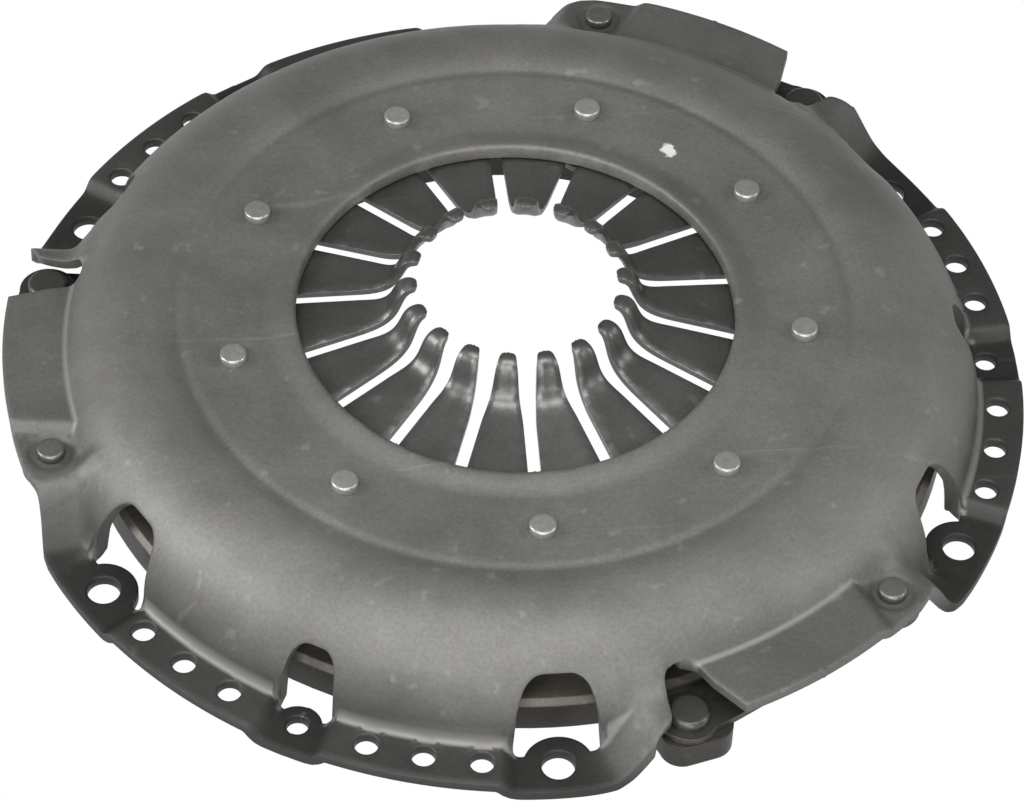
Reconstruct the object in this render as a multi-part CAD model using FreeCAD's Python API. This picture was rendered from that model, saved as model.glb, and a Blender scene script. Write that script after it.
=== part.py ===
# Clutch pressure plate: a diaphragm spring clutch cover assembly in its free state, before it is bolted on.
# Millimetres. The origin is the centre of the mounting plane, the underside of the bolt pads.
# Z points from the flywheel to the gearbox, and the first dowel hole lies on X.
import FreeCAD, Part
import math
import os

# The cover's sheet and its dome. Each radius is the last one plus the width of what lies between them.
sheet = 3.5
opening_radius = 60.4
lip_height = 36.4
lip_roll = 3.0
lip_width = 9.6
rivet_land_height = 34.8
rivet_land_inside = 10.0
rivet_land_outside = 13.5
groove_depth = 0.6
groove_edge_width = 1.2
groove_run = 6.5
crest_height = 35.5
shoulder_radius = 30.7
wall_angle = 76.0
wall_reach = 35.0
foot_fillet = 3.4
fillet_spread = 0.6
fillet_root = 1.0
fillet_hollow = (0.5, 0.35)
fillet_bury = 0.12

# The flange round the cover, as heights of its top face
pad_top = sheet
flange_top = 6.75
platform_top = 22.7
seat_top = 20.2
horn_top = 20.6
flange_margin = 8.7
platform_margin = 8.5

# Angles in one third of the cover, measured from its dowel hole. A step's angle is its middle.
stations = 3
bolt_angle = 30.0
dowel_step = 3.6
bolt_step = 24.4
horn_step = 38.2
horn_skew = 12.0
horn_end = 41.0
platform_start = 48.0
seat_step = 70.3
seat_skew = -16.0
cover_rivet_angle = 74.0
ramp_step = 80.2
notch_angle = 78.0
notch_half = 1.5
notch_inset = 3.0

# Bends of the sheet: the inside radius, and how steep the low steps and the tall ramps stand
bend_inside = 1.0
step_slope = 48.0
ramp_slope = 68.0

# Holes in the flange, and how far inside or outside the bolt circle things lie
bolt_hole = 9.0
bolt_tongue_radius = 9.4
dowel_hole = 6.0
dowel_tongue_radius = 6.6
balance_hole = 6.5
balance_offset = 1.4
balance_angles = (8.5, 15.0, 21.5)
strap_inset = 1.5

# Windows in the wall, and how deep each reaches in from the bolt circle
bolt_window_width = 23.6
bolt_window_depth = 13.1
bolt_window_corner = 9.0
dowel_window_width = 15.6
dowel_window_depth = 11.3
dowel_window_corner = 6.5
strap_window_depth = 11.3
strap_window_corner = 5.5
horn_edge_lean = 0.3
horn_corner_turn = 1.6
horn_apex_turn = 4.0
window_apex_turn = 1.4
platform_edge_lean = 0.6
platform_flare = 1.6
horn_corner_depth = (1.6, 0.35)
platform_corner_depth = (1.2, 0.45)

# Spacer rivets and the two wire rings
spacer_count = 9
spacer_first_angle = 30.0
spacer_head = 7.4
spacer_head_height = 2.8
spacer_shank = 6.0
spacer_collar = 8.0
spacer_foot = 14.8
spacer_foot_height = 2.5
spacer_mark = 10.6
spacer_mark_depth = 0.25
ring_wire = 4.5
ring_sides = 12

# Clearances, and how far pieces of the sheet run into each other
fit_gap = 0.05
ring_gap = 0.15
root_overlap = 0.2
step_reach = 1.2
cut_margin = 5.0
rim_margin = 2.0

# The diaphragm spring
spring_thickness = 2.7
spring_cone = 11.3
spring_overhang = 4.0
finger_count = 18
finger_slot = 3.6
finger_tip_slot = 6.0
key_hole = 10.0
bend_radius = 37.5
tip_radius = 27.5
tip_length = 3.9
tip_height = 47.6
tip_nose = 1.6
tip_lean = 0.9
bend_rise = 2.4
bend_length = 2.6
bend_lean = 1.2

# The cast pressure plate
plate_bottom = 2.8
plate_overhang = 13.8
plate_bore_step = 2.8
plate_rim_height = 13.5
plate_bevel = 1.6
plate_land_height = 10.8
ridge_step = 28.0
ridge_crown = 2.8
ridge_gap = 0.05
ridge_side = 70.0
ridge_foot = 1.5
ridge_slope_run = 2.5
land_bevel = 1.0
lug_angle = 45.0
lug_margin = 8.3
lug_root = 6.0
lug_horn_side = 8.4
lug_strap_side = 11.6
lug_flare = 3.0
lug_corner = 6.0
lug_bottom = 3.8

# Drive straps and their rivets
strap_leaves = 3
leaf = 0.8
strap_drop = 2.6
strap_end_radius = 8.0
strap_waist = 14.0
strap_flat = 8.4
strap_hole_gap = 0.1
cover_rivet_head = 7.6
cover_rivet_head_height = 2.9
cover_rivet_shank = 5.6
cover_rivet_foot = 11.0
cover_rivet_foot_height = 2.2
cover_rivet_recess = 15.0
cover_rivet_recess_depth = 0.4
plate_rivet_head = 11.2
plate_rivet_head_height = 3.2
plate_rivet_shank = 7.0
plate_rivet_foot = 11.6
plate_rivet_foot_height = 2.6
counterbore_gap = 0.4

# Radii and circles that follow from the widths above
bead_foot_radius = opening_radius + lip_width
spacer_circle = 2 * (bead_foot_radius + rivet_land_inside)
groove_radius = spacer_circle / 2 + rivet_land_outside
crest_radius = groove_radius + groove_run
bolt_circle = 2 * (crest_radius + wall_reach)
balance_circle = bolt_circle + 2 * balance_offset
strap_circle = bolt_circle - 2 * strap_inset
flange_radius = bolt_circle / 2 + flange_margin
platform_radius = strap_circle / 2 + platform_margin
bolt_window_apex = bolt_circle / 2 - bolt_window_depth
dowel_window_apex = bolt_circle / 2 - dowel_window_depth
strap_window_apex = bolt_circle / 2 - strap_window_depth
ridge_radius = spacer_circle / 2 + ridge_step
spring_radius = ridge_radius + spring_overhang
plate_radius = ridge_radius + plate_overhang
plate_bore = spacer_circle / 2 + plate_bore_step
lug_radius = strap_circle / 2 + lug_margin
tip_outer_radius = tip_radius + tip_length

# Where the straps lie: against the cover at one end, on the lug at the other
strap_top = seat_top - sheet
strap_pack = strap_leaves * leaf
lug_top = strap_top - strap_drop - strap_pack

ORIGIN = FreeCAD.Vector(0, 0, 0)
UP = FreeCAD.Vector(0, 0, 1)


def rz(r, z):
    """A point of a section through the axis."""
    return FreeCAD.Vector(r, 0, z)


def polar(r, degrees, z=0.0):
    a = math.radians(degrees)
    return FreeCAD.Vector(r * math.cos(a), r * math.sin(a), z)


def line(a, b):
    return Part.LineSegment(a, b).toShape()


def arc(a, middle, b):
    return Part.Arc(a, middle, b).toShape()


def eased(a, corner, b, count=3):
    """Points of a soft bend that leaves a towards the corner and arrives at b from it, in a few flats."""
    points = []
    for i in range(count + 1):
        u = i / count
        points.append(a * (1 - u) ** 2 + corner * 2 * u * (1 - u) + b * u ** 2)
    return points


def turned(shape, degrees):
    copy = shape.copy()
    copy.rotate(ORIGIN, UP, degrees)
    return copy


def around(shape, count, first=0.0):
    """Copies of a shape, evenly spaced about the axis."""
    return [turned(shape, first + i * 360.0 / count) for i in range(count)]


def revolved(edges, start=0.0, sweep=360.0):
    face = Part.Face(Part.Wire(edges))
    return turned(face.revolve(ORIGIN, UP, sweep), start)


def polygon(points):
    return [line(a, b) for a, b in zip(points, points[1:] + points[:1])]


def cylinder(diameter, z0, z1, centre):
    return Part.makeCylinder(diameter / 2, z1 - z0, FreeCAD.Vector(centre.x, centre.y, z0))


def prism(edges, z0, z1):
    """A flat outline, drawn at height 0, pulled up from z0 to z1."""
    face = Part.Face(Part.Wire(edges))
    face.translate(FreeCAD.Vector(0, 0, z0))
    return face.extrude(FreeCAD.Vector(0, 0, z1 - z0))


def bent(degrees, radius, centre):
    """The point of a round section stretch whose tangent slopes down at this angle."""
    a = math.radians(degrees)
    return rz(centre.x + radius * math.sin(a), centre.z + radius * math.cos(a))


def chords(first, last, count, radius, centre):
    """Points along a round section stretch, from one tangent slope to another."""
    return [bent(first + (last - first) * i / count, radius, centre) for i in range(count + 1)]


shoulder_centre = rz(crest_radius, crest_height - shoulder_radius)


def wall_radius(z, depth=0.0):
    """The radius of the dome's outside at height z, or of the face that lies depth under it."""
    radius = shoulder_radius - depth
    knee = bent(wall_angle, radius, shoulder_centre)
    if z >= knee.z:
        return crest_radius + math.sqrt(radius ** 2 - (z - shoulder_centre.z) ** 2)
    return knee.x + (knee.z - z) / math.tan(math.radians(wall_angle))


def dome():
    """The pressed dome: lip, rivet land, groove, crest, shoulder and wall, down to the middle of the pads' sheet."""
    top_knee = bent(wall_angle, shoulder_radius, shoulder_centre)
    floor = pad_top - sheet / 2
    land_under = rivet_land_height - sheet
    lip_crest = opening_radius + lip_roll
    lip = chords(-90, 0, 3, lip_roll, rz(lip_crest, lip_height - lip_roll))
    bead_middle = (lip_crest + bead_foot_radius) / 2
    bead_foot = rz(bead_foot_radius, rivet_land_height)
    bead = [rz((lip_crest + bead_middle) / 2, lip_height), rz((bead_middle + bead_foot_radius) / 2, rivet_land_height)]
    groove = rz(groove_radius, rivet_land_height - groove_depth)
    crest = rz(crest_radius, crest_height)
    outside = lip + bead + [bead_foot, rz(groove_radius - groove_edge_width, rivet_land_height), groove]
    outside += eased(groove, rz((groove.x + crest.x) / 2, crest_height), crest)[1:]
    inside = [rz(wall_radius(floor), floor), rz(wall_radius(floor, sheet), floor)]
    inside += chords(wall_angle, 0, 3, shoulder_radius - sheet, shoulder_centre)
    inside += [rz(groove_radius, land_under), rz(bead_foot_radius, land_under),
               rz(lip_crest, lip_height - sheet), rz(opening_radius, lip_height - sheet)]
    edges = [line(p, q) for p, q in zip(outside, outside[1:])]
    edges.append(arc(crest, bent(wall_angle / 2, shoulder_radius, shoulder_centre), top_knee))
    edges.append(line(top_knee, inside[0]))
    edges += [line(p, q) for p, q in zip(inside, inside[1:] + outside[:1])]
    return revolved(edges)


def step_run(rise, slope):
    """How long a step of the sheet is, from the start of its first bend to the end of its second."""
    a = math.radians(slope)
    bend = 2 * bend_inside + sheet
    return bend * math.sin(a) + (abs(rise) - bend * (1 - math.cos(a))) / math.tan(a)


def step_face(first, last, slope, depth, reach):
    """The line of one face of a stepped sheet, seen along the radius: level, bend, slope, bend, level."""
    a = math.radians(slope)
    half = step_run(last - first, slope) / 2
    low, high = min(first, last) - sheet / 2, max(first, last) - sheet / 2
    middle = bend_inside + sheet / 2
    offset = sheet / 2 - depth
    low_bend = (-half, low + middle, -(middle - offset))
    high_bend = (half, high - middle, middle + offset)

    def at(bend, angle):
        return bend[0] - bend[2] * math.sin(angle), bend[1] + bend[2] * math.cos(angle)

    points = [(-reach, low + offset), at(low_bend, 0), at(low_bend, a / 2), at(low_bend, a),
              at(high_bend, a), at(high_bend, a / 2), at(high_bend, 0), (reach, high + offset)]
    side = 1 if last > first else -1
    p = [FreeCAD.Vector(0, side * y, z) for y, z in points]
    return [line(p[0], p[1]), arc(p[1], p[2], p[3]), line(p[3], p[4]), arc(p[4], p[5], p[6]), line(p[6], p[7])], p


def skew_shift(skew, inner, outer):
    """How far the line of a skewed step strays along the flange at the end that lies farther from the bolt circle."""
    middle = bolt_circle / 2
    return max(middle - inner, outer - middle) * abs(math.tan(math.radians(skew)))


def pressed_step(first, last, slope, angle, inner, outer, floor=None, skew=0.0, shift=0.0):
    """A stretch of flange that steps from one height to another, or, with a floor, what lies under its middle."""
    reach = step_run(last - first, slope) / 2 + step_reach + shift
    if floor is None:
        top, t = step_face(first, last, slope, 0.0, reach)
        low, w = step_face(first, last, slope, sheet, reach)
        edges = top + [line(t[-1], w[-1])] + low[::-1] + [line(w[0], t[0])]
    else:
        top, t = step_face(first, last, slope, sheet / 2, reach)
        w = [FreeCAD.Vector(0, t[0].y, floor), FreeCAD.Vector(0, t[-1].y, floor)]
        edges = top + [line(t[-1], w[1]), line(w[1], w[0]), line(w[0], t[0])]
    face = Part.Face(Part.Wire(Part.__sortEdges__(edges)))
    solid = face.extrude(rz(outer - inner, 0))
    solid.translate(rz(inner, 0))
    solid.rotate(rz(bolt_circle / 2, 0), UP, skew)
    return turned(solid, angle)


def level_stretch(level, start, end, inner, outer, floor=None):
    """A flat stretch of flange between two angles, or, with a floor, what lies under its middle."""
    top, low = (level, level - sheet) if floor is None else (level - sheet / 2, floor)
    return revolved(polygon([rz(inner, low), rz(outer, low), rz(outer, top), rz(inner, top)]), start, end - start)


def half_run(rise, slope):
    """Half of a step's run as an angle at the bolt circle."""
    return math.degrees(step_run(rise, slope) / bolt_circle)


def flange_third():
    """One third of the flange: its steps (first, last, slope, angle, skew) and its level stretches."""
    third = 360.0 / stations
    steps = [(seat_top, pad_top, ramp_slope, ramp_step - third, 0.0),
             (pad_top, flange_top, step_slope, -bolt_step, 0.0),
             (flange_top, pad_top, step_slope, -dowel_step, 0.0),
             (pad_top, flange_top, step_slope, dowel_step, 0.0),
             (flange_top, pad_top, step_slope, bolt_step, 0.0),
             (pad_top, horn_top, ramp_slope, horn_step, horn_skew)]
    low = half_run(flange_top - pad_top, step_slope)
    skew_lead = (bolt_circle / 2 - inner_edge(horn_top)) * math.sin(math.radians(horn_skew))
    horn_start = horn_step + half_run(horn_top - pad_top, ramp_slope) - math.degrees(skew_lead / bolt_circle)
    levels = [(pad_top, ramp_step - third + half_run(seat_top - pad_top, ramp_slope), -bolt_step - low),
              (flange_top, -bolt_step + low, -dowel_step - low),
              (pad_top, -dowel_step + low, dowel_step - low),
              (flange_top, dowel_step + low, bolt_step - low),
              (pad_top, bolt_step + low, horn_step - half_run(horn_top - pad_top, ramp_slope)),
              (horn_top, horn_start, platform_start)]
    return steps, levels


def platform_third():
    """The raised strap platform of one third, with the seat of its rivet."""
    end = half_run(platform_top - seat_top, step_slope)
    end += math.degrees(2 * skew_shift(seat_skew, inner_edge(seat_top), platform_radius) / bolt_circle)
    steps = [(platform_top, seat_top, step_slope, seat_step, seat_skew)]
    levels = [(platform_top, platform_start, seat_step - end),
              (seat_top, seat_step + end, ramp_step - half_run(seat_top - pad_top, ramp_slope))]
    return steps, levels


def inner_edge(level):
    """Just inside the wall's inner face, so that the flange takes hold of the whole wall."""
    return wall_radius(level - sheet / 2, sheet) - root_overlap


def dome_core():
    """The room inside the dome, down past the flange."""
    depth = sheet + root_overlap
    knee = bent(wall_angle, shoulder_radius - depth, shoulder_centre)
    floor = -sheet
    crest = rz(crest_radius, crest_height - depth)
    return revolved([
        line(rz(opening_radius, floor), rz(wall_radius(floor, depth), floor)),
        line(rz(wall_radius(floor, depth), floor), knee),
        arc(knee, bent(wall_angle / 2, shoulder_radius - depth, shoulder_centre), crest),
        line(crest, rz(opening_radius, crest.z)),
        line(rz(opening_radius, crest.z), rz(opening_radius, floor)),
    ])


def rounded_window(width, apex, corner, outer):
    """A window's outline from above, centred on X: an arch towards the axis, with straight sides."""
    half = width / 2
    k = corner * (1 - math.sqrt(0.5))
    return [line(ORIGIN + rz(outer, 0) + FreeCAD.Vector(0, -half, 0), FreeCAD.Vector(apex + corner, -half, 0)),
            arc(FreeCAD.Vector(apex + corner, -half, 0), FreeCAD.Vector(apex + k, -half + k, 0),
                FreeCAD.Vector(apex, -half + corner, 0)),
            line(FreeCAD.Vector(apex, -half + corner, 0), FreeCAD.Vector(apex, half - corner, 0)),
            arc(FreeCAD.Vector(apex, half - corner, 0), FreeCAD.Vector(apex + k, half - k, 0),
                FreeCAD.Vector(apex + corner, half, 0)),
            line(FreeCAD.Vector(apex + corner, half, 0), FreeCAD.Vector(outer, half, 0)),
            line(FreeCAD.Vector(outer, half, 0), FreeCAD.Vector(outer, -half, 0))]


def strap_window():
    """The open window over the lug, from the horn's free edge to the platform's end."""
    outer = flange_radius + cut_margin
    apex, corner = strap_window_apex, strap_window_corner
    horn_deep, horn_bend = (apex + part * corner for part in horn_corner_depth)
    platform_deep, platform_bend = (apex + part * corner for part in platform_corner_depth)
    horn_out = polar(outer, horn_end)
    horn_in = polar(horn_deep, horn_end + horn_edge_lean)
    apex_left = polar(apex, horn_end + horn_apex_turn)
    apex_right = polar(apex, horn_end + horn_apex_turn + window_apex_turn)
    platform_in = polar(platform_deep, platform_start + platform_edge_lean)
    platform_out = polar(outer, platform_start + platform_edge_lean + platform_flare)
    return [line(horn_out, horn_in), arc(horn_in, polar(horn_bend, horn_end + horn_corner_turn), apex_left),
            line(apex_left, apex_right),
            arc(apex_right, polar(platform_bend, platform_start - platform_edge_lean), platform_in),
            line(platform_in, platform_out), line(platform_out, horn_out)]


def ramp_notch():
    """The notch in the rim where the seat runs down to the pad."""
    outer = flange_radius + cut_margin
    tip = platform_radius - notch_inset
    return polygon([polar(tip, notch_angle), polar(outer, notch_angle - notch_half), polar(outer, notch_angle + notch_half)])


def foot_bead(level, start, end):
    """The fillet at the wall's foot along a level stretch of the flange."""
    head = level + foot_fillet
    foot = wall_radius(level) + foot_fillet * fillet_spread
    low = level - fillet_root
    hollow = rz(wall_radius(level) + fillet_root * fillet_hollow[0], level + foot_fillet * fillet_hollow[1])
    section = [rz(wall_radius(head) - fillet_bury, head), hollow, rz(foot, level), rz(foot, low),
               rz(wall_radius(level) - sheet / 2, low)]
    return revolved(polygon(section), start, end - start)


def windows():
    """The arched windows in the wall, over each bolt pad and each dowel pad."""
    bolt = prism(rounded_window(bolt_window_width, bolt_window_apex, bolt_window_corner, flange_radius + cut_margin),
                 -sheet, crest_height)
    dowel = prism(rounded_window(dowel_window_width, dowel_window_apex, dowel_window_corner, flange_radius + cut_margin),
                  -sheet, crest_height)
    return around(bolt, stations, -bolt_angle) + around(dowel, stations) + around(bolt, stations, bolt_angle)


def flange():
    """The flange with its pads, raised stretches, ramps, horns and strap platforms."""
    steps, levels = flange_third()
    low_pieces, tall_pieces, platform = [], [], []
    for first, last, slope, angle, skew in steps:
        if max(first, last) == flange_top:
            low_pieces.append(pressed_step(first, last, slope, angle, inner_edge(pad_top), flange_radius + rim_margin))
        else:
            root = wall_radius(max(first, last), sheet) - sheet
            tall_pieces.append(pressed_step(first, last, slope, angle, root, flange_radius + cut_margin, None, skew))
    for level, start, end in levels[:-1]:
        low_pieces.append(level_stretch(level, start, end, inner_edge(pad_top), flange_radius + rim_margin))
        if level == flange_top:
            low_pieces.append(foot_bead(level, start, end))
    tongues = ((-bolt_angle, bolt_tongue_radius), (0.0, dowel_tongue_radius), (bolt_angle, bolt_tongue_radius))
    for angle, radius in tongues:
        low_pieces.append(turned(Part.makeCylinder(radius, sheet, rz(bolt_circle / 2, pad_top - sheet)), angle))
    steps, levels = platform_third()
    for first, last, slope, angle, skew in steps:
        inner, outer = inner_edge(last), platform_radius + rim_margin
        shift = 2 * skew_shift(skew, inner, platform_radius)
        platform.append(pressed_step(first, last, slope, angle, inner, outer, None, skew, shift))
    for level, start, end in levels:
        platform.append(level_stretch(level, start, end, inner_edge(level), platform_radius + rim_margin))
        platform.append(foot_bead(level, start, end))
    core = dome_core()
    rim = Part.makeCylinder(flange_radius, 2 * crest_height, rz(0, -sheet))
    platform_rim = Part.makeCylinder(platform_radius, 2 * crest_height, rz(0, -sheet))
    low = low_pieces[0].multiFuse(low_pieces[1:] + [piece.cut(core) for piece in tall_pieces]).common(rim)
    high = platform[0].multiFuse(platform[1:]).common(platform_rim)
    third = low.fuse(high)
    return around(third, stations)


def under_flange():
    """What the wall must leave free, under the middle of the flange's sheet."""
    floor, outer = -sheet, flange_radius + cut_margin
    pieces = []
    for steps, levels in (flange_third(), platform_third()):
        for first, last, slope, angle, skew in steps:
            shift = 2 * skew_shift(skew, inner_edge(last), platform_radius)
            pieces.append(pressed_step(first, last, slope, angle, crest_radius, outer, floor, skew, shift))
        for level, start, end in levels:
            pieces.append(level_stretch(level, start, end, crest_radius, outer, floor))
    return [copy for piece in pieces for copy in around(piece, stations)]


def cover():
    """The whole stamped cover."""
    shell = dome().cut(windows() + under_flange())
    shell = shell.multiFuse(flange())
    holes = around(prism(strap_window(), -sheet, crest_height), stations)
    holes += around(prism(ramp_notch(), -sheet, crest_height), stations)
    for angle, size in ((-bolt_angle, bolt_hole), (0.0, dowel_hole), (bolt_angle, bolt_hole)):
        holes += around(cylinder(size, -rim_margin, flange_top + rim_margin, rz(bolt_circle / 2, 0)), stations, angle)
    for angle in balance_angles:
        for side in (-1, 1):
            hole = cylinder(balance_hole, -rim_margin, flange_top + rim_margin, rz(balance_circle / 2, 0))
            holes += around(hole, stations, side * angle)
    seat = rz(strap_circle / 2, 0)
    hole = cylinder(cover_rivet_shank + 2 * fit_gap, 0.0, crest_height, seat)
    recess = cylinder(cover_rivet_recess, seat_top - cover_rivet_recess_depth, crest_height, seat)
    holes += around(hole, stations, cover_rivet_angle) + around(recess, stations, cover_rivet_angle)
    land = rz(spacer_circle / 2, 0)
    hole = cylinder(spacer_shank + 2 * fit_gap, 0.0, crest_height, land)
    mark = cylinder(spacer_mark, rivet_land_height - spacer_mark_depth, crest_height, land)
    holes += around(hole, spacer_count, spacer_first_angle) + around(mark, spacer_count, spacer_first_angle)
    return shell.cut(holes).removeSplitter()


def turned_part(outline, radius, degrees):
    """A round part made from its half section, standing at a place on the cover."""
    edges = polygon([rz(r, z) for r, z in outline])
    shape = revolved(edges)
    shape.translate(polar(radius, degrees))
    return shape


spring_slope = math.tan(math.radians(spring_cone))
ring_radius = spacer_circle / 2 + spacer_collar / 2 + ring_gap + ring_wire / 2
ring_drop = (ring_wire / 2 + fit_gap) / math.cos(math.radians(spring_cone))
upper_ring_z = rivet_land_height - sheet - fit_gap - ring_wire / 2
spring_top_at_ring = upper_ring_z - ring_drop
spring_height = spring_thickness / math.cos(math.radians(spring_cone))
lower_ring_z = spring_top_at_ring - spring_height - ring_drop
spacer_foot_top = lower_ring_z - ring_wire / 2 - fit_gap


def spring_top(r):
    return spring_top_at_ring + (ring_radius - r) * spring_slope


def spacer_rivets():
    head_z = rivet_land_height - spacer_mark_depth
    foot = [(spacer_collar / 2, spacer_foot_top), (spacer_foot / 2, spacer_foot_top),
            (spacer_foot / 2, spacer_foot_top - spacer_foot_height + 0.6),
            (spacer_foot / 2 - 0.6, spacer_foot_top - spacer_foot_height), (0, spacer_foot_top - spacer_foot_height)]
    top = [(0, head_z + spacer_head_height)]
    top += [(spacer_head / 2 - 0.7, head_z + spacer_head_height), (spacer_head / 2, head_z + spacer_head_height - 0.5),
            (spacer_head / 2, head_z), (spacer_shank / 2, head_z),
            (spacer_shank / 2, rivet_land_height - sheet), (spacer_collar / 2, rivet_land_height - sheet)]
    rivet = turned_part(top + foot, spacer_circle / 2, 0.0)
    return Part.makeCompound(around(rivet, spacer_count, spacer_first_angle))


def fulcrum_ring(z):
    """A ring of round wire, drawn with a few flats so that it stays light."""
    centre = rz(ring_radius, z)
    step = 360.0 / ring_sides
    return revolved(polygon([bent((i + 0.5) * step, ring_wire / 2, centre) for i in range(ring_sides)]))


def diaphragm_spring():
    """One dished disc. Its fingers run in along the cone, turn up and end in flat tips."""
    t = spring_thickness
    rim, bend = spring_top(spring_radius), spring_top(bend_radius)
    corner = rz(bend_radius - bend_length, bend + bend_length * spring_slope)
    riser_foot = rz(corner.x - bend_lean, bend + bend_rise)
    tip_corner = rz(tip_outer_radius, tip_height)
    riser_head = rz(tip_outer_radius + tip_lean, tip_height - bend_rise)
    nose = rz(tip_radius + tip_nose, tip_height)
    top = [rz(spring_radius, rim)] + eased(rz(bend_radius, bend), corner, riser_foot)
    top += eased(riser_head, tip_corner, nose) + [rz(tip_radius, tip_height)]
    low = [rz(tip_radius, tip_height - t), rz(tip_radius + 0.8 * tip_nose, tip_height - t)]
    low += [riser_head - rz(t, 1.2 * t), riser_foot - rz(t, 0.9 * t)]
    low += [rz(bend_radius, bend - spring_height), rz(spring_radius, rim - spring_height)]
    body = revolved(polygon(top + low))
    slot_end = spacer_circle / 2
    inside = tip_radius - cut_margin
    narrow, wide = finger_slot / 2, finger_tip_slot / 2
    half = [(slot_end, narrow), (bend_radius, narrow), (tip_outer_radius, wide), (inside, wide)]
    outline = [FreeCAD.Vector(x, y, 0) for x, y in half] + [FreeCAD.Vector(x, -y, 0) for x, y in reversed(half)]
    slot = prism(polygon(outline), 0.0, tip_height + cut_margin)
    slot = slot.fuse(cylinder(key_hole, 0.0, tip_height, rz(slot_end, 0)))
    pitch = 360.0 / finger_count
    return body.cut(around(slot, finger_count, pitch / 2))


ridge_drop = (ridge_crown + ridge_gap) / math.cos(math.radians(spring_cone))
ridge_top = spring_top(ridge_radius) - spring_height - ridge_drop + ridge_crown


def lug():
    """One lug's outline from above, on X: narrower on the horn's side, and flared into the rim."""
    root = plate_radius - lug_root
    left, right = -lug_horn_side, lug_strap_side
    k = lug_corner * (1 - math.sqrt(0.5))
    out = lug_radius
    corners = [(root, right + lug_flare), (root, left - lug_flare), (out - lug_corner, left),
               (out - k, left + k), (out, left + lug_corner), (out, right - lug_corner),
               (out - k, right - k), (out - lug_corner, right)]
    points = [FreeCAD.Vector(x, y, 0) for x, y in corners]
    return [line(points[0], points[1]), line(points[1], points[2]), arc(points[2], points[3], points[4]),
            line(points[4], points[5]), arc(points[5], points[6], points[7]), line(points[7], points[0])]


def pressure_plate():
    """The cast ring: friction face below, rim, the ridge that the spring presses on, and a lower inner land."""
    crown = rz(ridge_radius, ridge_top - ridge_crown)
    ridge = chords(ridge_side, -ridge_side, 4, ridge_crown, crown)
    section = [rz(plate_bore, plate_bottom), rz(plate_radius, plate_bottom),
               rz(plate_radius, plate_rim_height - plate_bevel), rz(plate_radius - plate_bevel, plate_rim_height),
               rz(ridge[0].x + ridge_foot, plate_rim_height)]
    section += ridge
    section += [rz(ridge[-1].x - ridge_slope_run, plate_land_height),
                rz(plate_bore + land_bevel, plate_land_height), rz(plate_bore, plate_land_height - land_bevel)]
    body = revolved(polygon(section))
    body = body.multiFuse(around(prism(lug(), lug_bottom, lug_top), stations, lug_angle))
    seat = rz(strap_circle / 2, 0)
    foot = plate_rivet_foot + 2 * counterbore_gap
    depth = plate_rivet_foot_height + counterbore_gap
    holes = around(cylinder(plate_rivet_shank + 2 * fit_gap, 0.0, lug_top + cut_margin, seat), stations, lug_angle)
    holes += around(cylinder(foot, 0.0, lug_bottom + depth, seat), stations, lug_angle)
    return body.cut(holes).removeSplitter()


strap_from = polar(strap_circle / 2, cover_rivet_angle)
strap_to = polar(strap_circle / 2, lug_angle)
strap_length = strap_from.distanceToPoint(strap_to)
strap_heading = math.degrees(math.atan2(strap_to.y - strap_from.y, strap_to.x - strap_from.x))


def drive_strap(number):
    """One leaf of a pack, from the cover's rivet to the lug's: 0 is the top leaf."""
    top = strap_top - number * leaf
    reach = strap_end_radius + 1
    a, b = strap_flat, strap_length - strap_flat
    side = [rz(-reach, top), rz(a, top), rz(b, top - strap_drop), rz(strap_length + reach, top - strap_drop),
            rz(strap_length + reach, top - strap_drop - leaf), rz(b, top - strap_drop - leaf),
            rz(a, top - leaf), rz(-reach, top - leaf)]
    face = Part.Face(Part.Wire(polygon(side)))
    face.translate(FreeCAD.Vector(0, -strap_end_radius - 1, 0))
    sheet_metal = face.extrude(FreeCAD.Vector(0, 2 * strap_end_radius + 2, 0))
    far = rz(strap_length, 0)
    plan = cylinder(2 * strap_end_radius, 0.0, top + 5, ORIGIN)
    waist = Part.makeBox(strap_length, strap_waist, top + 5, FreeCAD.Vector(0, -strap_waist / 2, 0))
    plan = plan.multiFuse([cylinder(2 * strap_end_radius, 0.0, top + 5, far), waist])
    strap = sheet_metal.common(plan)
    strap = strap.cut([cylinder(cover_rivet_shank + 2 * strap_hole_gap, 0.0, top + 5, ORIGIN),
                       cylinder(plate_rivet_shank + 2 * strap_hole_gap, 0.0, top + 5, far)])
    strap.rotate(ORIGIN, UP, strap_heading)
    strap.translate(strap_from)
    return strap.removeSplitter()


def cover_strap_rivet():
    head, foot = cover_rivet_head / 2, cover_rivet_foot / 2
    seat = seat_top - cover_rivet_recess_depth
    under = strap_top - strap_pack
    low = under - cover_rivet_foot_height
    return turned_part([(0, low), (foot - 0.6, low), (foot, low + 0.6), (foot, under), (cover_rivet_shank / 2, under),
                        (cover_rivet_shank / 2, seat), (head, seat), (head, seat + cover_rivet_head_height - 0.6),
                        (head - 0.6, seat + cover_rivet_head_height), (0, seat + cover_rivet_head_height)],
                       strap_circle / 2, cover_rivet_angle)


def plate_strap_rivet():
    head, foot = plate_rivet_head / 2, plate_rivet_foot / 2
    seat = lug_top + strap_pack
    under = lug_bottom + plate_rivet_foot_height + counterbore_gap
    low = under - plate_rivet_foot_height
    return turned_part([(0, low), (foot - 0.6, low), (foot, low + 0.6), (foot, under), (plate_rivet_shank / 2, under),
                        (plate_rivet_shank / 2, seat), (head, seat), (head, seat + plate_rivet_head_height - 1.0),
                        (head - 1.0, seat + plate_rivet_head_height), (0, seat + plate_rivet_head_height)],
                       strap_circle / 2, lug_angle)


def write(name, shape):
    shape.exportStep(os.path.join("parts", name + ".step"))


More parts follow.
